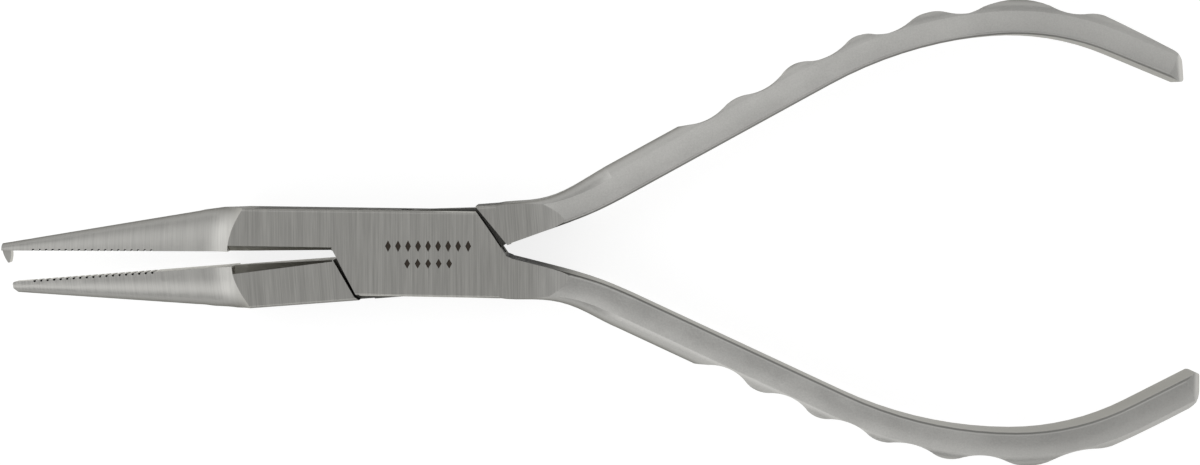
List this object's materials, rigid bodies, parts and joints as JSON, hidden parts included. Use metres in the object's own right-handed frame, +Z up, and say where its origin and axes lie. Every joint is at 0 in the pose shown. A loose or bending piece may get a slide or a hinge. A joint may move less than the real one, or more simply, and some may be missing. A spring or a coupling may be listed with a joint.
{
  "type": "crimping pliers",
  "caption": "Slim-nosed steel box-joint pliers with a hooked jaw over a plain round-backed jaw, grooved gripping faces and bare bowed handles with finger scallops.",
  "frame": {"origin": "on the pivot axis, at the flat underside of the joint that the pliers rest on", "axes": "+X from the pivot towards the handle ends, +Z up along the pivot axis, +Y towards the side of the hooked jaw"},
  "size_m": [0.1498, 0.0583, 0.009],
  "materials": {
    "box_half_steel": "ground flats, satin tumbled handle",
    "through_half_steel": "ground flats, satin tumbled handle",
    "pin_steel": "ground flush with the cheeks"
  },
  "bodies": {
    "hooked_side": {"box_half": "box_half_steel", "pivot_pin": "pin_steel"},
    "plain_side": {"through_half": "through_half_steel"}
  },
  "joints": [
    {"name": "pivot", "type": "hinge", "parent": "hooked_side", "child": "plain_side", "pos_m": [0, 0, 0.0045], "axis": [0, 0, 1], "range_deg": [-4.2, 26]}
  ]
}
